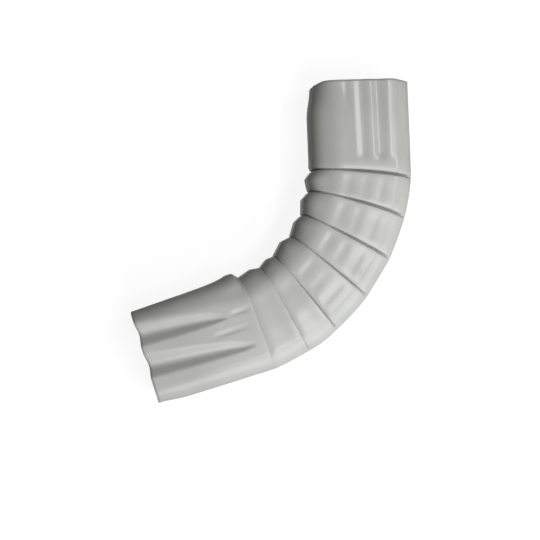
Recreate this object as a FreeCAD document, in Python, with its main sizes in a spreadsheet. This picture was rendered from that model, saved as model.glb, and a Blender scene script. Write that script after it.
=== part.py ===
import FreeCAD, Part
import math
import os

# A one-piece sheet-metal downspout elbow, in millimetres. The tube is a rounded rectangle, taken round
# the bend in straight pleats. Between two pleats the sheet is crimped inwards into a fold, deep at the
# throat and almost nothing at the heel, and both collars carry pressed flutes.
# The elbow is drawn about the bend axis, which is its Z: the inlet stands along +Y at x = bend_radius,
# and the stream turns clockwise, seen from above, towards -X. The finished part has its origin at the
# centre of the inlet's mouth.

NODE = "elbow"

SIZES = {
    # The tube: a nominal 2 by 3 inch downspout, bent in the plane of its wide sides.
    "tube_width": 82.5,
    "tube_depth": 60.3,
    "corner_radius": 15.0,
    "wall_thickness": 0.5,
    # The bend, measured to the tube's centre line.
    "bend_angle": 75.0,
    "bend_radius": 146.0,
    "crimp_count": 7,
    # The straight collars, from the bend to each mouth. The outlet slips into the next pipe.
    "inlet_length": 63.0,
    "outlet_length": 85.0,
    "outlet_reduction": 0.8,
    # The folds: the slit's width at the throat, and its depth below the tube's surface at the throat, on
    # the wide sides next to the heel, and at the heel.
    "fold_mouth": 1.2,
    "fold_throat": 7.4,
    "fold_side": 2.6,
    "fold_heel": 0.4,
    # The pleats between the folds: how far their edges tuck in and their crowns stand out.
    "crown_place": 9.0,
    "crown_proud": 2.2,
    "lip_length": 3.0,
    "lip_drop": 0.6,
    "lip_fall": 1.2,
    "tuck_drop": 0.9,
    "tuck_fall": 1.4,
    # The inlet's flutes: shallow flat-bottomed channels that run out short of the first fold. A land is the
    # flat left between two flutes, and a margin the flat left between a flute and the tube's round corner.
    "flute_land": 2.9,
    "flute_margin": 6.1,
    "flute_wall": 2.8,
    "flute_depth": 1.6,
    "flute_length": 50.0,
    "flute_run_out": 6.0,
    # The outlet's flutes: round channels that widen and deepen towards the mouth, on all four sides.
    "crimp_land": 9.8,
    "crimp_margin": 2.35,
    "crimp_start_width": 9.0,
    "crimp_depth": 4.8,
    "narrow_land": 4.0,
    "narrow_margin": 2.15,
    "narrow_start_width": 7.0,
    "narrow_depth": 3.0,
}

CORNER_CHORDS = 4
FLUTE_CHORDS = 5
FLATNESS = 1e-9

doc = FreeCAD.newDocument("downspout_elbow")
sheet = doc.addObject("Spreadsheet::Sheet", "sizes")
for row, (alias, size) in enumerate(SIZES.items(), start=1):
    sheet.set(f"A{row}", alias)
    sheet.set(f"B{row}", str(size))
    sheet.setAlias(f"B{row}", alias)
doc.recompute()

CRIMPS = int(sheet.crimp_count)
PITCH = math.radians(sheet.bend_angle) / CRIMPS
TURN = math.radians(sheet.bend_angle)
THROAT = sheet.bend_radius - sheet.tube_width / 2
HEEL = sheet.bend_radius + sheet.tube_width / 2
HALF_DEPTH = sheet.tube_depth / 2
WIDE_FLAT = sheet.tube_width / 2 - sheet.corner_radius
NARROW_FLAT = HALF_DEPTH - sheet.corner_radius
FLUTE_WIDTH = (2 * WIDE_FLAT - 2 * sheet.flute_margin - 2 * sheet.flute_land) / 3
CRIMP_WIDTH = WIDE_FLAT - sheet.crimp_margin - sheet.crimp_land / 2
NARROW_WIDTH = NARROW_FLAT - sheet.narrow_margin - sheet.narrow_land / 2
CRIMP_PLACE = (sheet.crimp_land + CRIMP_WIDTH) / 2
NARROW_PLACE = (sheet.narrow_land + NARROW_WIDTH) / 2
SLIT = sheet.fold_mouth / 2 / THROAT
SLIT_AND_WALL = (sheet.fold_mouth / 2 + sheet.wall_thickness) / THROAT
LIP_TURN = sheet.lip_length / sheet.bend_radius
CROWN_TURN = sheet.crown_place / sheet.bend_radius

# How far a section is let in from the tube's surface at the throat, at the heel, and on the wide sides
# next to the throat and next to the heel, with its corner radius.
PLAIN = (0, 0, 0, 0, sheet.corner_radius)
FOLD = (sheet.fold_throat, sheet.fold_heel, sheet.fold_throat, sheet.fold_side, sheet.corner_radius)
LIP = (sheet.lip_fall, 0, sheet.lip_drop, sheet.lip_drop, sheet.corner_radius)
TUCK = (sheet.tuck_fall, 0, sheet.tuck_drop, sheet.tuck_drop, sheet.corner_radius)
CROWN = (-sheet.crown_proud, 0, 0, 0, sheet.corner_radius)
REDUCED = (*[sheet.outlet_reduction] * 4, sheet.corner_radius)

# A flute's cross-section: shares of its width, and of its depth there.
FLUTE_WALL = sheet.flute_wall / FLUTE_WIDTH
CHANNEL = ((0, 0), (FLUTE_WALL, 1), (1 - FLUTE_WALL, 1), (1, 0))
FLUTE_SHARES = [step / FLUTE_CHORDS for step in range(FLUTE_CHORDS + 1)]
ROUND_CHANNEL = [(share, math.sin(math.pi * share) ** 2) for share in FLUTE_SHARES]


def corner_points(x, y, radius, first_angle):
    """The points of a quarter turn about x, y, clockwise from an angle."""
    angles = [first_angle - math.pi / 2 * step / CORNER_CHORDS for step in range(CORNER_CHORDS + 1)]
    return [(x + radius * math.cos(angle), y + radius * math.sin(angle)) for angle in angles]


def flute_points(centre, width, depth, profile):
    """Places along a face, and depths below it, of one flute."""
    return [(centre + (share - 0.5) * width, depth * drop) for share, drop in profile]


def upper_outline(kind, lean, skin, narrow, wide):
    """Half of a section's outline, from the throat over the upper wide side to the heel."""
    throat_drop, heel_drop, throat_side, heel_side, corner = kind
    throat = (THROAT + throat_drop + skin) / lean
    heel = (HEEL - heel_drop - skin) / lean
    low = HALF_DEPTH - throat_side - skin
    high = HALF_DEPTH - heel_side - skin
    radius = corner - skin
    first, last = throat + radius, heel - radius
    rise = (high - low) / (last - first)
    side = []
    for centre, width, depth, profile in narrow:
        side += flute_points(centre, width + 2 * skin, depth, profile)
    points = [(throat + drop, place) for place, drop in side]
    points += corner_points(first, low - radius, radius, math.pi)
    for centre, width, depth, profile in wide:
        for place, drop in flute_points(sheet.bend_radius / lean + centre, width + 2 * skin, depth, profile):
            points.append((place, low + (place - first) * rise - drop))
    points += corner_points(last, high - radius, radius, math.pi / 2)
    points += [(heel - drop, place) for place, drop in reversed(side)]
    return points


def section(angle, middle, kind, skin, ahead=0, narrow=(), wide=()):
    """The corners of an outline on the plane turned by angle about the bend axis and moved ahead along the
    stream. The straight piece that it cuts across has its own middle plane at another angle."""
    upper = upper_outline(kind, math.cos(angle - middle), skin, narrow, wide)
    outline = upper + [(x, -y) for x, y in reversed(upper)]
    outward = FreeCAD.Vector(math.cos(angle), -math.sin(angle), 0)
    stream = FreeCAD.Vector(-math.sin(angle), -math.cos(angle), 0)
    up = FreeCAD.Vector(0, 0, 1)
    return [outward * x + stream * ahead + up * y for x, y in outline]


def closed(corners):
    return Part.makePolygon([*corners, corners[0]])


def panels(first, second):
    """The flat faces between two outlines: one for each side, or two where a side is twisted."""
    faces = []
    for i in range(len(first)):
        a, b, c, d = first[i - 1], first[i], second[i], second[i - 1]
        normal = (b - a).cross(c - a)
        twisted = abs((d - a).dot(normal)) > FLATNESS * normal.Length
        for corners in ((a, b, c), (a, c, d)) if twisted else ((a, b, c, d),):
            faces.append(Part.Face(closed(corners)))
    return faces


def sheet_tube(name, stations):
    """A length of formed sheet through its stations, each an outer and an inner outline."""
    faces = []
    for (outer, inner), (next_outer, next_inner) in zip(stations, stations[1:]):
        faces += panels(outer, next_outer)
        faces += panels(inner, next_inner)
    for outer, inner in (stations[0], stations[-1]):
        faces.append(Part.makeFace([closed(outer), closed(inner)], "Part::FaceMakerBullseye"))
    skin = Part.makeShell(faces)
    skin.sewShape()
    tube = doc.addObject("Part::Feature", name)
    tube.Shape = Part.Solid(skin)
    return tube


def station(angle, middle, outside, inside, **place):
    outer = section(angle, middle, outside, 0, **place)
    return outer, section(angle, middle, inside, sheet.wall_thickness, **place)


def fold_stations(fold, before, after):
    """The stations through one fold, between the middle planes of the pieces before and after it."""
    return [
        station(fold - LIP_TURN, before, PLAIN, PLAIN),
        station(fold - SLIT_AND_WALL, before, LIP, LIP),
        station(fold - SLIT, before, LIP, FOLD),
        station(fold, after, FOLD, FOLD),
        station(fold + SLIT, after, TUCK, FOLD),
        station(fold + SLIT_AND_WALL, after, TUCK, TUCK),
        station(fold + CROWN_TURN, after, CROWN, CROWN),
    ]


def inlet_collar():
    def flutes(depth):
        pitch = FLUTE_WIDTH + sheet.flute_land
        return {"narrow": [(NARROW_PLACE, NARROW_WIDTH, depth, CHANNEL)],
                "wide": [(place, FLUTE_WIDTH, depth, CHANNEL) for place in (-pitch, 0, pitch)]}

    fluted, plain = flutes(sheet.flute_depth), flutes(0)
    flute_end = sheet.flute_length - sheet.inlet_length
    return sheet_tube("inlet_collar", [
        station(0, 0, PLAIN, PLAIN, ahead=-sheet.inlet_length, **fluted),
        station(0, 0, PLAIN, PLAIN, ahead=flute_end, **fluted),
        station(0, 0, PLAIN, PLAIN, ahead=flute_end + sheet.flute_run_out, **plain),
    ])


def pleated_bend():
    start = sheet.flute_length + sheet.flute_run_out - sheet.inlet_length
    stations = [station(0, 0, PLAIN, PLAIN, ahead=start)]
    for crimp in range(CRIMPS):
        stations += fold_stations((crimp + 0.5) * PITCH, crimp * PITCH, (crimp + 1) * PITCH)
    return sheet_tube("pleated_bend", stations)


def outlet_collar():
    def flutes(wide_width, narrow_width, wide_depth, narrow_depth):
        places = (-CRIMP_PLACE, CRIMP_PLACE)
        return {"narrow": [(NARROW_PLACE, narrow_width, narrow_depth, ROUND_CHANNEL)],
                "wide": [(place, wide_width, wide_depth, ROUND_CHANNEL) for place in places]}

    plain = flutes(sheet.crimp_start_width, sheet.narrow_start_width, 0, 0)
    fluted = flutes(CRIMP_WIDTH, NARROW_WIDTH, sheet.crimp_depth, sheet.narrow_depth)
    return sheet_tube("outlet_collar", [
        station(TURN - PITCH / 2 + CROWN_TURN, TURN, CROWN, CROWN, **plain),
        station(TURN, TURN, REDUCED, REDUCED, ahead=sheet.outlet_length, **fluted),
    ])


elbow = doc.addObject("Part::MultiFuse", NODE)
elbow.Label = NODE
elbow.Shapes = [inlet_collar(), pleated_bend(), outlet_collar()]
elbow.setExpression("Placement.Base.x", "-sizes.bend_radius")
elbow.setExpression("Placement.Base.y", "-sizes.inlet_length")
doc.recompute()

for item in doc.Objects:
    if "Invalid" in item.State or "Error" in item.State:
        raise RuntimeError(f"{item.Name} failed: {item.State}")
if elbow.Shape.isNull() or not elbow.Shape.isValid() or len(elbow.Shape.Solids) != 1:
    raise RuntimeError("the elbow is not one valid solid")

os.makedirs("parts", exist_ok=True)
elbow.Shape.exportStep(f"parts/{NODE}.step")
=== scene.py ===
import math

import bpy
import numpy as np
from mathutils import Matrix, Vector


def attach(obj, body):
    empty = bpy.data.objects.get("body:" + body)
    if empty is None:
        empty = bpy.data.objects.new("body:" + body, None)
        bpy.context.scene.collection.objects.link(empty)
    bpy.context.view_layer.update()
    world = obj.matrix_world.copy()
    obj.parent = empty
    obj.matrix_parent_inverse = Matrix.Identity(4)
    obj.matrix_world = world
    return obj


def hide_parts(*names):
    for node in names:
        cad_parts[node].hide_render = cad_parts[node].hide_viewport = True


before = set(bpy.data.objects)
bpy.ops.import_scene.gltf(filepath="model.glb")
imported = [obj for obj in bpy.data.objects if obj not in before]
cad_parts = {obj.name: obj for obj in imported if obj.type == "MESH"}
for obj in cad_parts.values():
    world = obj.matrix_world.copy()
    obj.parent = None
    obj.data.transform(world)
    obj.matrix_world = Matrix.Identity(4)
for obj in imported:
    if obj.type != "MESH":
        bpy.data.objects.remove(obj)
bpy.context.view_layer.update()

MM = 0.001

# The elbow's sizes in millimetres, as the solid has them.
TUBE_WIDTH = 82.5
TUBE_DEPTH = 60.3
WALL = 0.5
BEND_RADIUS = 146.0
BEND_TURN = math.radians(75.0)
INLET_LENGTH = 63.0
OUTLET_LENGTH = 85.0
OUTLET_REDUCTION = 0.8

# The tube's corners, rolled wider than the solid's. Those of the throat get squarer in the outlet, over a
# stretch that is given from the bend's end.
THROAT_CORNER = 22.0
HEEL_CORNER = 16.0
OUTLET_CORNER, OUTLET_SQUARING = 18.0, (-8.0, 30.0)

# The folds: where each one crosses the throat and the heel, in degrees of the bend, how far it arches back
# between them, and how open it is.
THROAT_ANGLES = (5.6, 15.5, 27.0, 38.4, 50.4, 58.6, 69.2)
HEEL_ANGLES = (6.1, 16.6, 28.1, 39.6, 51.2, 60.2, 70.2)
FOLD_ARCHES = (0.6, 0.6, 0.1, 0.0, 0.0, 0.0, 0.0)
FOLD_OPENINGS = (1.0, 0.97, 0.87, 0.66, 0.52, 0.33, 0.2)

# A fold's slit: its half width at the throat and on the sides, its depth on the sides and at the heel, the
# share of that depth at the throat, and the share in a fold that is quite shut. It widens and deepens over
# a part of the way from throat to heel.
SLIT_THROAT, SLIT_SIDE, SLIT_WIDENING = 0.55, 0.82, (0.1, 0.6)
SLIT_DEPTH, SLIT_HEEL = 5.0, 0.4
SLIT_THROAT_SHARE, SLIT_DEEPENING = 0.4, (0.1, 0.5)
SLIT_SHUT_SHARE = 0.1
SLIT_SQUARENESS = 3

# The sheet rolls down to a slit in a lip, and comes up after it from a tuck.
LIP_DROP, LIP_REACH = 1.3, 3.2
TUCK_DROP, TUCK_REACH = 0.2, 1.5

# The straight pieces between the folds: dished, sloping a little towards the heel, and with soft flutes.
# The ranges are shares of the way from throat to heel, or for the flutes of a piece's length. The slope
# fades out over a share of the bend at both of its ends.
DISH, DISH_RANGE = 0.6, (0.1, 0.35)
HEEL_SLOPE, HEEL_SLOPE_RANGE, HEEL_SLOPE_FADE = 1.6, (0.5, 0.95), 0.25
BEND_FLUTES = (-13.0, 1.3, 15.6)
BEND_FLUTE_WIDTH = 12.5
BEND_FLUTE_DEPTHS = (0.26, 0.3, 0.3, 0.24, 0.06, 0.05)
BEND_FLUTE_START, BEND_FLUTE_END = (0.08, 0.35), (0.97, 0.75)

# The throat's saw-tooth: how far it lies below the tube's surface at each fold and at the crown after it,
# and where along a piece the crown is. The heel's crowns are midway. Towards the inlet and the outlet the
# first and the last notch run out over a share of the way.
THROAT_NOTCHES = (-1.1, -1.0, -0.3, 0.7, 1.1, 1.6, 0.3)
THROAT_CROWNS = (-5.0, -4.4, -2.6, -2.7, -0.4, -1.0)
CROWN_SHARE = 0.4
HEEL_CROWNS = (-0.7, -0.3, 0.0, -0.7, -1.4, -0.5)
FIRST_NOTCH_START, LAST_NOTCH_END = 0.6, 0.55

# The inlet's throat bulges, and is pinched in at the rim. The rim falls at both ends, beside a faint dent.
INLET_BULGE = -2.2
RIM_PINCH, RIM_PINCH_LENGTH = 3.2, 28.0
HEEL_RIM_FALL, THROAT_RIM_FALL, RIM_FALL_LENGTH = 2.0, 2.6, 20.0
RIM_DENT_PLACE, RIM_DENT_WIDTH, RIM_DENT_DEPTH, RIM_DENT_LENGTH = -14.0, 8.0, 0.5, 26.0

# The inlet's flutes: the middles of both walls of each at the rim, from the tube's middle, then its depth,
# how far it leans towards the heel over the collar's length, and how wide each wall is. They fade out over
# a stretch that is given from the bend's start.
INLET_FLUTES = (
    (-5.4, 1.6, 0.7, 0.9, (7.6, 6.0)),
    (9.3, 17.0, 1.3, 0.6, (6.3, 9.0)),
    (24.6, 60.0, 0.8, -1.0, (8.0, 8.0)),
)
FLUTE_FADE = (-2.0, 7.0)

# The outlet's flutes: each starts at a tip and widens and deepens towards the mouth. A flute's floor
# slopes gently down from the throat's side and ends in a steep wall on the heel's side. A tip has its place
# across the tube and along the outlet, and a mouth its place across.
CRIMP_TIPS = ((-12.0, 12.0), (17.0, -4.0))
CRIMP_MOUTHS = (-15.0, 12.0)
CRIMP_SLOPE, CRIMP_WALL, CRIMP_DEPTH, CRIMP_GROWTH = 13.0, 11.0, 5.8, 0.4

# The streaks beside the tips: the place of each across the tube, and where it starts and ends along it.
STREAKS = ((1.0, -8.0, 30.0), (-12.5, -14.0, 9.0))
STREAK_SLOPE, STREAK_WALL, STREAK_DEPTH = 4.0, 3.2, 0.8

# The outlet's throat swells next to the last fold. Its mouth is let in at the heel, and scalloped.
OUTLET_THROAT, OUTLET_SWELL, OUTLET_SWELL_LENGTH = -1.5, -3.3, 11.0
MOUTH_HEEL, MOUTH_SCALLOP, MOUTH_LENGTH = 1.7, 0.23, 25.0

# The two flutes of each narrow side, with their depths in the inlet and at the outlet's mouth.
NARROW_PLACES, NARROW_WIDTH = (-7.5, 7.5), 11.0
NARROW_INLET_DEPTH, NARROW_OUTLET_DEPTH = 0.8, 3.0

# How finely the sheet is divided: steps round the section, the distances of rings from a fold on the outer
# and on the inner skin, and the number of rings along a collar.
FLAT_STEPS, NARROW_STEPS, CORNER_STEPS = 52, 18, 12
OUTER_REACH = (0.25, 0.5, 0.75, 1.0, 1.25, 1.55, 1.9, 2.4, 3.1, 4.0, 5.2, 6.8, 9.0, 11.5)
INNER_REACH = (0.9, 1.8, 3.1, 6.8)
COLLAR_RINGS = 34

# The rings before the first fold lie at these shares of the way to it, and near it within a share of the
# way. Those after the last fold lie near it within a share of the way to the outlet.
FIRST_SHARES, FIRST_NEAR = (0, 0.12, 0.25, 0.38), 0.55
LAST_NEAR = 0.8

# The section's faces, told apart by how far the sheet looks out or up, and its ends, by the place across.
THROAT_LOOK, HEEL_LOOK, HEEL_EDGE_LOOK = (-0.4, -0.95), (0.3, 0.95), (0.7, 0.99)
WIDE_LOOK, NARROW_LOOK = (0.7, 0.97), (0.85, 0.99)
HEEL_END_RANGE, THROAT_END_RANGE = (25.0, 40.0), (-31.0, -43.0)


def smooth(low, high, value):
    """A share that rises from 0 at the low value to 1 at the high one, level at both."""
    share = np.clip((value - low) / (high - low), 0, 1)
    return share * share * (3 - 2 * share)


def bell(offset, width):
    """A round-bottomed channel's depth across its width, 1 at the middle."""
    return np.where(np.abs(offset) < width / 2, np.cos(np.pi * offset / width) ** 2, 0)


def step_channel(offset, slope, wall):
    """A channel that slopes down over one width and climbs a steep wall over another, 1 at its foot."""
    floor_share = smooth(-wall / 2 - slope, -wall / 2, offset)
    wall_share = smooth(wall / 2, -wall / 2, offset)
    return np.where(offset < -wall / 2, floor_share, wall_share)


def channel(place, first, last, walls):
    """A flat-bottomed channel's depth between the middles of its two walls, 1 on the flat."""
    down = smooth(first - walls[0] / 2, first + walls[0] / 2, place)
    return down * smooth(last + walls[1] / 2, last - walls[1] / 2, place)


def section_outline(throat_corner):
    """Places around the tube, clockwise from the throat, with the outward normal at each."""
    half_w, half_d = TUBE_WIDTH / 2, TUBE_DEPTH / 2
    places, normals = [], []

    def run(start, end, normal, steps):
        for step in range(steps):
            share = step / steps
            places.append([a + (b - a) * share for a, b in zip(start, end)])
            normals.append(normal)

    def turn(x, y, radius, first):
        for step in range(CORNER_STEPS):
            angle = first - math.pi / 2 * step / CORNER_STEPS
            normal = (math.cos(angle), math.sin(angle))
            places.append([x + radius * normal[0], y + radius * normal[1]])
            normals.append(normal)

    left, right = -half_w + throat_corner, half_w - HEEL_CORNER
    throat_flat, heel_flat = half_d - throat_corner, half_d - HEEL_CORNER
    run((-half_w, -throat_flat), (-half_w, throat_flat), (-1, 0), NARROW_STEPS)
    turn(left, throat_flat, throat_corner, math.pi)
    run((left, half_d), (right, half_d), (0, 1), FLAT_STEPS)
    turn(right, heel_flat, HEEL_CORNER, math.pi / 2)
    run((half_w, heel_flat), (half_w, -heel_flat), (1, 0), NARROW_STEPS)
    turn(right, -heel_flat, HEEL_CORNER, 0)
    run((right, -half_d), (left, -half_d), (0, -1), FLAT_STEPS)
    turn(left, -throat_flat, throat_corner, -math.pi / 2)
    return np.array(places), np.array(normals)


PLACES, NORMALS = section_outline(THROAT_CORNER)
OUTLET_PLACES = section_outline(OUTLET_CORNER)[0]
ACROSS, UP = PLACES[:, 0], PLACES[:, 1]
LOOK_OUT, LOOK_UP = NORMALS[:, 0], NORMALS[:, 1]
HEELWARD = (ACROSS + TUBE_WIDTH / 2) / TUBE_WIDTH
THROAT_FACE = smooth(*THROAT_LOOK, LOOK_OUT)
HEEL_FACE = smooth(*HEEL_LOOK, LOOK_OUT)
HEEL_EDGE = smooth(*HEEL_EDGE_LOOK, LOOK_OUT)
WIDE_FACE = smooth(*WIDE_LOOK, np.abs(LOOK_UP))
NARROW_FACE = smooth(*NARROW_LOOK, np.abs(LOOK_OUT))
HEEL_END = smooth(*HEEL_END_RANGE, ACROSS)
THROAT_END = smooth(*THROAT_END_RANGE, ACROSS)
SIDES = (1 - THROAT_FACE) * (1 - HEEL_FACE)
SLOPING = smooth(*HEEL_SLOPE_RANGE, HEELWARD) * np.abs(LOOK_UP)
DISTANCE_OUT = BEND_RADIUS + ACROSS

# Each fold's angle all round the section, with an arch that is full midway between throat and heel, and the
# middle plane of the straight piece before and after it.
ARCHING = 4 * HEELWARD * (1 - HEELWARD)
FOLDS = [np.radians(throat + (heel - throat) * HEELWARD - arch * ARCHING)
         for throat, heel, arch in zip(THROAT_ANGLES, HEEL_ANGLES, FOLD_ARCHES)]
FOLD_MIDDLES = [math.radians((throat + heel) / 2) for throat, heel in zip(THROAT_ANGLES, HEEL_ANGLES)]
PIECE_MIDDLES = [0.0, *[(a + b) / 2 for a, b in zip(FOLD_MIDDLES, FOLD_MIDDLES[1:])], BEND_TURN]
LAST_FOLD = len(FOLDS) - 1
CREST = 1 / math.cos(BEND_TURN / len(FOLDS) / 2)
NO_FOLD = np.zeros(len(PLACES))


def fold_drop(distance, extra, opening):
    """How far the sheet lies below the tube's surface at a distance from a fold, positive downstream."""
    half_width = SLIT_THROAT + (SLIT_SIDE - SLIT_THROAT) * smooth(*SLIT_WIDENING, HEELWARD)
    depth = SLIT_DEPTH + (SLIT_HEEL - SLIT_DEPTH) * HEEL_EDGE
    depth = depth * (SLIT_SHUT_SHARE + (1 - SLIT_SHUT_SHARE) * opening)
    depth = depth * (SLIT_THROAT_SHARE + (1 - SLIT_THROAT_SHARE) * smooth(*SLIT_DEEPENING, HEELWARD))
    slit = depth / (1 + np.abs(distance / (half_width * opening + extra)) ** SLIT_SQUARENESS)
    lip = LIP_DROP * np.exp(np.minimum(distance, 0) / LIP_REACH)
    tuck = TUCK_DROP * np.exp(-np.maximum(distance, 0) / TUCK_REACH)
    return np.maximum(slit, SIDES * np.where(distance < 0, lip, tuck))


def narrow_flutes(depth):
    """The flutes of both narrow sides."""
    return sum(depth * bell(UP - place, NARROW_WIDTH) * NARROW_FACE for place in NARROW_PLACES)


def inlet_drop(from_rim, run):
    """The inlet's flutes and dent, and its bulged throat pinched in at the rim."""
    fade = smooth(FLUTE_FADE[1], FLUTE_FADE[0], run)
    drop = narrow_flutes(fade * NARROW_INLET_DEPTH)
    for first, last, depth, lean, walls in INLET_FLUTES:
        place = ACROSS - lean * from_rim / INLET_LENGTH
        drop = drop + fade * depth * channel(place, first, last, walls) * WIDE_FACE
    dent = RIM_DENT_DEPTH * (1 - smooth(0, RIM_DENT_LENGTH, from_rim))
    drop = drop + dent * bell(ACROSS - RIM_DENT_PLACE, RIM_DENT_WIDTH) * WIDE_FACE
    pinch = RIM_PINCH * (1 - smooth(0, RIM_PINCH_LENGTH, from_rim))
    return drop + (INLET_BULGE + pinch) * THROAT_FACE


def outlet_drop(ahead, across):
    """The outlet's flutes, streaks and taper, its throat swollen next to the last fold, and its mouth."""
    taper = max(ahead, 0) / OUTLET_LENGTH
    drop = OUTLET_REDUCTION * taper ** 2 + narrow_flutes(taper * NARROW_OUTLET_DEPTH)
    for (tip, start), mouth in zip(CRIMP_TIPS, CRIMP_MOUTHS):
        share = (ahead - start) / (OUTLET_LENGTH - start)
        if share > 0:
            growth = share ** CRIMP_GROWTH
            centre = tip + (mouth - tip) * share
            form = step_channel(across - centre, CRIMP_SLOPE * growth, CRIMP_WALL * growth)
            drop = drop + CRIMP_DEPTH * growth * form * WIDE_FACE
    for place, start, end in STREAKS:
        streak = STREAK_DEPTH * bell(ahead - (start + end) / 2, end - start)
        drop = drop + streak * step_channel(across - place, STREAK_SLOPE, STREAK_WALL) * WIDE_FACE
    swell = OUTLET_THROAT * (1 - taper) + OUTLET_SWELL * math.exp(-max(ahead, 0) / OUTLET_SWELL_LENGTH)
    heel = MOUTH_HEEL * smooth(OUTLET_LENGTH - MOUTH_LENGTH, OUTLET_LENGTH, ahead)
    return drop + swell * THROAT_FACE + heel * HEEL_FACE


def outlet_places(ahead):
    """The section along the outlet, whose throat corners get squarer after the last fold."""
    return PLACES + (OUTLET_PLACES - PLACES) * smooth(*OUTLET_SQUARING, ahead)


def edge_place(ahead, form):
    """Where a collar's ring lies along it: the rim falls at both ends, and the mouth is scalloped."""
    fall = HEEL_RIM_FALL * HEEL_END + THROAT_RIM_FALL * THROAT_END
    rim = fall * smooth(-INLET_LENGTH + RIM_FALL_LENGTH, -INLET_LENGTH, ahead)
    at_mouth = smooth(OUTLET_LENGTH - MOUTH_LENGTH, OUTLET_LENGTH, ahead)
    return ahead + rim - MOUTH_SCALLOP * at_mouth * np.maximum(form, 0) * WIDE_FACE


def piece_drop(piece, share):
    """A straight piece between two folds: its sides, dished, fluted and sloping, and both its crowns."""
    drop = DISH * math.sin(math.pi * share) ** 2 * WIDE_FACE * smooth(*DISH_RANGE, HEELWARD)
    fade = smooth(*BEND_FLUTE_START, share) * smooth(*BEND_FLUTE_END, share)
    for place in BEND_FLUTES:
        flute = BEND_FLUTE_DEPTHS[piece] * bell(ACROSS - place, BEND_FLUTE_WIDTH)
        drop = drop + fade * flute * WIDE_FACE
    along = (piece + share) / LAST_FOLD
    slope = smooth(0, HEEL_SLOPE_FADE, along) * smooth(1, 1 - HEEL_SLOPE_FADE, along)
    heights = THROAT_NOTCHES[piece], THROAT_CROWNS[piece], THROAT_NOTCHES[piece + 1]
    throat = np.interp(share, (0, CROWN_SHARE, 1), heights)
    heel = HEEL_CROWNS[piece] * math.sin(math.pi * share)
    return drop + throat * THROAT_FACE + heel * HEEL_FACE + HEEL_SLOPE * slope * SLOPING


def ring(angle, middle, ends, ahead, drop, places=PLACES):
    """One section of the sheet, let in by a drop from the tube's surface all round. The straight piece it
    cuts has its own middle plane, and meets its neighbours at the crests of the folds."""
    lean = 1 / np.cos(angle - middle)
    for end in ends:
        side = (end - middle) * (angle - middle) > 0
        share = np.where(side, (angle - middle) / (end - middle), 0)
        lean = lean + share * (CREST - 1 / np.cos(end - middle))
    x = places[:, 0] - LOOK_OUT * drop
    z = places[:, 1] - LOOK_UP * drop
    out = (BEND_RADIUS + x) * lean
    px = out * np.cos(angle) - ahead * np.sin(angle) - BEND_RADIUS
    py = -out * np.sin(angle) - ahead * np.cos(angle) - INLET_LENGTH
    return np.stack([px, py, z], 1) * MM


def piece_shares(length, reach):
    """Places along a piece, as shares of its length, close together next to the folds at both ends."""
    near = [r / length for r in reach if r < length / 2]
    return [0, *near, *[1 - r for r in reversed(near)]]


def skin(depth, reach):
    """Every ring of one side of the sheet, from the inlet's mouth to the outlet's."""
    rings = []

    def folded(angle, ahead, fold):
        return fold_drop((angle - FOLDS[fold]) * DISTANCE_OUT + ahead, depth, FOLD_OPENINGS[fold])

    def collar(angle, middle, ends, ahead, form, fold, places=PLACES):
        drop = form + folded(angle, ahead, fold) + depth
        rings.append(ring(angle, middle, ends, edge_place(ahead, form), drop, places))

    # The inlet, and on to the first fold.
    for ahead in np.linspace(-INLET_LENGTH, 0, COLLAR_RINGS)[:-1]:
        collar(NO_FOLD, 0.0, [], ahead, inlet_drop(INLET_LENGTH + ahead, ahead), 0)
    length = FOLD_MIDDLES[0] * BEND_RADIUS
    near = [1 - r / length for r in reversed(reach) if r < length * FIRST_NEAR]
    for share in [*FIRST_SHARES, *near]:
        run = share * length
        notch = (THROAT_NOTCHES[0] - INLET_BULGE) * smooth(FIRST_NOTCH_START, 1, share)
        form = inlet_drop(INLET_LENGTH + run, run) + notch * THROAT_FACE
        collar(FOLDS[0] * share, 0.0, [FOLDS[0]], 0.0, form, 0)

    # The straight pieces from fold to fold.
    for piece in range(LAST_FOLD):
        before, after = FOLDS[piece], FOLDS[piece + 1]
        length = (FOLD_MIDDLES[piece + 1] - FOLD_MIDDLES[piece]) * BEND_RADIUS
        for share in piece_shares(length, reach):
            angle = before + (after - before) * share
            edge = np.maximum(folded(angle, 0.0, piece), folded(angle, 0.0, piece + 1))
            drop = piece_drop(piece, share) + edge + depth
            rings.append(ring(angle, PIECE_MIDDLES[piece + 1], [before, after], 0.0, drop))

    # The last fold, and on along the outlet to its mouth.
    length = (BEND_TURN - FOLD_MIDDLES[LAST_FOLD]) * BEND_RADIUS
    last_notch = THROAT_NOTCHES[LAST_FOLD] - OUTLET_THROAT - OUTLET_SWELL
    for share in [0, *[r / length for r in reach if r < length * LAST_NEAR]]:
        angle = FOLDS[LAST_FOLD] + (BEND_TURN - FOLDS[LAST_FOLD]) * share
        places = outlet_places((share - 1) * length)
        notch = last_notch * (1 - smooth(0, LAST_NOTCH_END, share))
        form = outlet_drop((share - 1) * length, places[:, 0]) + notch * THROAT_FACE
        collar(angle, BEND_TURN, [FOLDS[LAST_FOLD]], 0.0, form, LAST_FOLD, places)
    for ahead in np.linspace(0, OUTLET_LENGTH, COLLAR_RINGS):
        places = outlet_places(ahead)
        form = outlet_drop(ahead, places[:, 0])
        collar(NO_FOLD + BEND_TURN, BEND_TURN, [], ahead, form, LAST_FOLD, places)
    return rings


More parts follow.
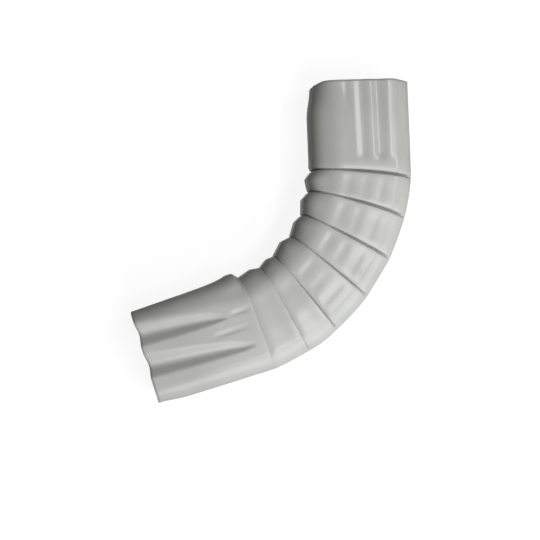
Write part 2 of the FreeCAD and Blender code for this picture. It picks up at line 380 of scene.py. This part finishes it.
def elbow_mesh():
    """The sheet as one closed skin: down the outside, and back up the inside."""
    rings = skin(0.0, OUTER_REACH) + skin(WALL, INNER_REACH)[::-1]
    count = len(PLACES)
    faces = []
    for number in range(len(rings)):
        first, second = number * count, (number + 1) % len(rings) * count
        for i in range(count):
            j = (i + 1) % count
            faces.append((first + i, second + i, second + j, first + j))
    mesh = bpy.data.meshes.new("elbow_sheet")
    mesh.from_pydata([tuple(point) for point in np.concatenate(rings)], [], faces)
    mesh.validate()
    mesh.update()
    return mesh


# The paint: light grey baked enamel, a little uneven in tone and gloss, with a fine peel.
PAINT_DARK, PAINT_LIGHT = (0.388, 0.392, 0.38, 1), (0.423, 0.427, 0.414, 1)
PAINT_METALLIC, PAINT_IOR = 0.05, 1.03
GLOSSY_ROUGHNESS, DULL_ROUGHNESS = 0.21, 0.26
BLOTCH_SCALE, BLOTCH_DETAIL, BLOTCH_LOW, BLOTCH_HIGH = 26.0, 4.0, 0.35, 0.65
PEEL_SCALE, PEEL_STRENGTH, PEEL_DEPTH = 900.0, 0.04, 0.0004


def grey_enamel():
    paint = bpy.data.materials.new("grey_enamel")
    paint.use_nodes = True
    nodes, links = paint.node_tree.nodes, paint.node_tree.links
    shader = nodes["Principled BSDF"]
    shader.inputs["Metallic"].default_value = PAINT_METALLIC
    shader.inputs["IOR"].default_value = PAINT_IOR
    coordinates = nodes.new("ShaderNodeTexCoord")
    blotch = nodes.new("ShaderNodeTexNoise")
    blotch.inputs["Scale"].default_value = BLOTCH_SCALE
    blotch.inputs["Detail"].default_value = BLOTCH_DETAIL
    links.new(coordinates.outputs["Object"], blotch.inputs["Vector"])
    tone = nodes.new("ShaderNodeValToRGB")
    tone.color_ramp.elements[0].position = BLOTCH_LOW
    tone.color_ramp.elements[0].color = PAINT_DARK
    tone.color_ramp.elements[1].position = BLOTCH_HIGH
    tone.color_ramp.elements[1].color = PAINT_LIGHT
    links.new(blotch.outputs["Fac"], tone.inputs["Fac"])
    links.new(tone.outputs["Color"], shader.inputs["Base Color"])
    gloss = nodes.new("ShaderNodeMapRange")
    gloss.inputs["From Min"].default_value = BLOTCH_LOW
    gloss.inputs["From Max"].default_value = BLOTCH_HIGH
    gloss.inputs["To Min"].default_value = GLOSSY_ROUGHNESS
    gloss.inputs["To Max"].default_value = DULL_ROUGHNESS
    links.new(blotch.outputs["Fac"], gloss.inputs["Value"])
    links.new(gloss.outputs["Result"], shader.inputs["Roughness"])
    peel = nodes.new("ShaderNodeTexNoise")
    peel.inputs["Scale"].default_value = PEEL_SCALE
    links.new(coordinates.outputs["Object"], peel.inputs["Vector"])
    bump = nodes.new("ShaderNodeBump")
    bump.inputs["Strength"].default_value = PEEL_STRENGTH
    bump.inputs["Distance"].default_value = PEEL_DEPTH
    links.new(peel.outputs["Fac"], bump.inputs["Height"])
    links.new(bump.outputs["Normal"], shader.inputs["Normal"])
    return paint


elbow = bpy.data.objects.new("elbow_sheet", elbow_mesh())
bpy.context.scene.collection.objects.link(elbow)
for polygon in elbow.data.polygons:
    polygon.use_smooth = True
elbow.data.materials.append(grey_enamel())
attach(elbow, "root")
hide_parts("elbow")


def grey(shade):
    return (shade, shade, shade, 1)


def seen_directly(nodes, links):
    """A node output that is 1 for what the camera sees, reflected or through glass too, and else 0."""
    path = nodes.new("ShaderNodeLightPath")
    result = path.outputs["Is Camera Ray"]
    for name in ("Is Glossy Ray", "Is Transmission Ray"):
        either = nodes.new("ShaderNodeMath")
        either.operation = "MAXIMUM"
        links.new(result, either.inputs[0])
        links.new(path.outputs[name], either.inputs[1])
        result = either.outputs[0]
    return result


# The floor, white to the camera, with the part's soft shadow.
FLOOR_HALF = 3.0
FLOOR_GAP = 0.2
FLOOR_SHADE, FLOOR_GLOW = 0.17, 0.9


def pale_floor():
    pale = bpy.data.materials.new("pale_floor")
    pale.use_nodes = True
    nodes, links = pale.node_tree.nodes, pale.node_tree.links
    nodes.clear()
    output = nodes.new("ShaderNodeOutputMaterial")
    diffuse = nodes.new("ShaderNodeBsdfDiffuse")
    diffuse.inputs["Color"].default_value = grey(FLOOR_SHADE)
    glow = nodes.new("ShaderNodeEmission")
    glow.inputs["Color"].default_value = grey(1)
    strength = nodes.new("ShaderNodeMath")
    strength.operation = "MULTIPLY"
    strength.inputs[1].default_value = FLOOR_GLOW
    links.new(seen_directly(nodes, links), strength.inputs[0])
    links.new(strength.outputs[0], glow.inputs["Strength"])
    both = nodes.new("ShaderNodeAddShader")
    links.new(diffuse.outputs[0], both.inputs[0])
    links.new(glow.outputs[0], both.inputs[1])
    links.new(both.outputs[0], output.inputs["Surface"])
    return pale


floor_level = (-TUBE_DEPTH / 2 - FLOOR_GAP) * MM
corners = [(x * FLOOR_HALF, y * FLOOR_HALF, floor_level) for x, y in ((-1, -1), (1, -1), (1, 1), (-1, 1))]
floor_mesh = bpy.data.meshes.new("floor")
floor_mesh.from_pydata(corners, [], [(0, 1, 2, 3)])
floor = bpy.data.objects.new("floor", floor_mesh)
bpy.context.scene.collection.objects.link(floor)
floor.data.materials.append(pale_floor())

# The surround: dim as a light, and pale where it is seen.
SURROUND, BACKGROUND = 0.05, 0.91
world = bpy.data.worlds.new("studio")
bpy.context.scene.world = world
world.use_nodes = True
world_nodes, world_links = world.node_tree.nodes, world.node_tree.links
surround = world_nodes.new("ShaderNodeMix")
surround.data_type = "RGBA"
surround.inputs["A"].default_value = grey(SURROUND)
surround.inputs["B"].default_value = grey(BACKGROUND)
world_links.new(seen_directly(world_nodes, world_links), surround.inputs["Factor"])
world_links.new(surround.outputs["Result"], world_nodes["Background"].inputs["Color"])

# The lamps face the bend, apart from the strip, which faces a point past the inlet's mouth.
BEND_TARGET = Vector((-0.05, -0.12, 0.0))
STRIP_TARGET = Vector((-0.05, 0.08, 0.0))


def lamp(name, place, width, height, power, target=BEND_TARGET):
    data = bpy.data.lights.new(name, "AREA")
    data.shape = "RECTANGLE"
    data.size, data.size_y = width, height
    data.energy = power
    item = bpy.data.objects.new(name, data)
    item.location = place
    item.rotation_mode = "QUATERNION"
    item.rotation_quaternion = (target - Vector(place)).to_track_quat("-Z", "Y")
    bpy.context.scene.collection.objects.link(item)


# A wide key beyond the heel, a strip that draws the inlet's flutes, a lamp high up for the bend's sheen, and
# a weak fill from behind.
lamp("key", place=(0.2, -0.53, 0.4), width=0.8, height=0.4, power=4.65)
lamp("right_strip", place=(0.4, 0.08, 0.9), width=0.35, height=0.05, power=2.5, target=STRIP_TARGET)
lamp("overhead", place=(0.27, -0.42, 1.3), width=0.5, height=0.22, power=5.0)
lamp("back_fill", place=(-0.7, 0.6, 0.15), width=0.6, height=0.3, power=0.7)

# The camera looks straight down on the elbow, a little turned, at a point given from the bend's centre.
FOCAL_PIXELS = 1200.0
IMAGE_PIXELS = 540.0
SENSOR = 36.0
TILT, PAN, ROLL = math.radians(-0.31), math.radians(5.26), math.radians(2.38)
AIM_ACROSS, AIM_ALONG = 64.7, -93.4
DISTANCE = 1.026
aim = Vector(((AIM_ACROSS - BEND_RADIUS) * MM, (AIM_ALONG - INLET_LENGTH) * MM, 0.0))
turned = Matrix.Rotation(TILT, 3, "X") @ Matrix.Rotation(PAN, 3, "Y") @ Matrix.Rotation(ROLL, 3, "Z")
axes = turned.transposed()
camera = bpy.data.objects.new("camera", bpy.data.cameras.new("camera"))
camera.data.sensor_width = SENSOR
camera.data.lens = FOCAL_PIXELS / IMAGE_PIXELS * SENSOR
camera.matrix_world = Matrix.Translation(aim + axes @ Vector((0, 0, DISTANCE))) @ axes.to_4x4()
bpy.context.scene.collection.objects.link(camera)
bpy.context.scene.camera = camera
bpy.context.scene.view_settings.view_transform = "Standard"

bpy.context.view_layer.update()
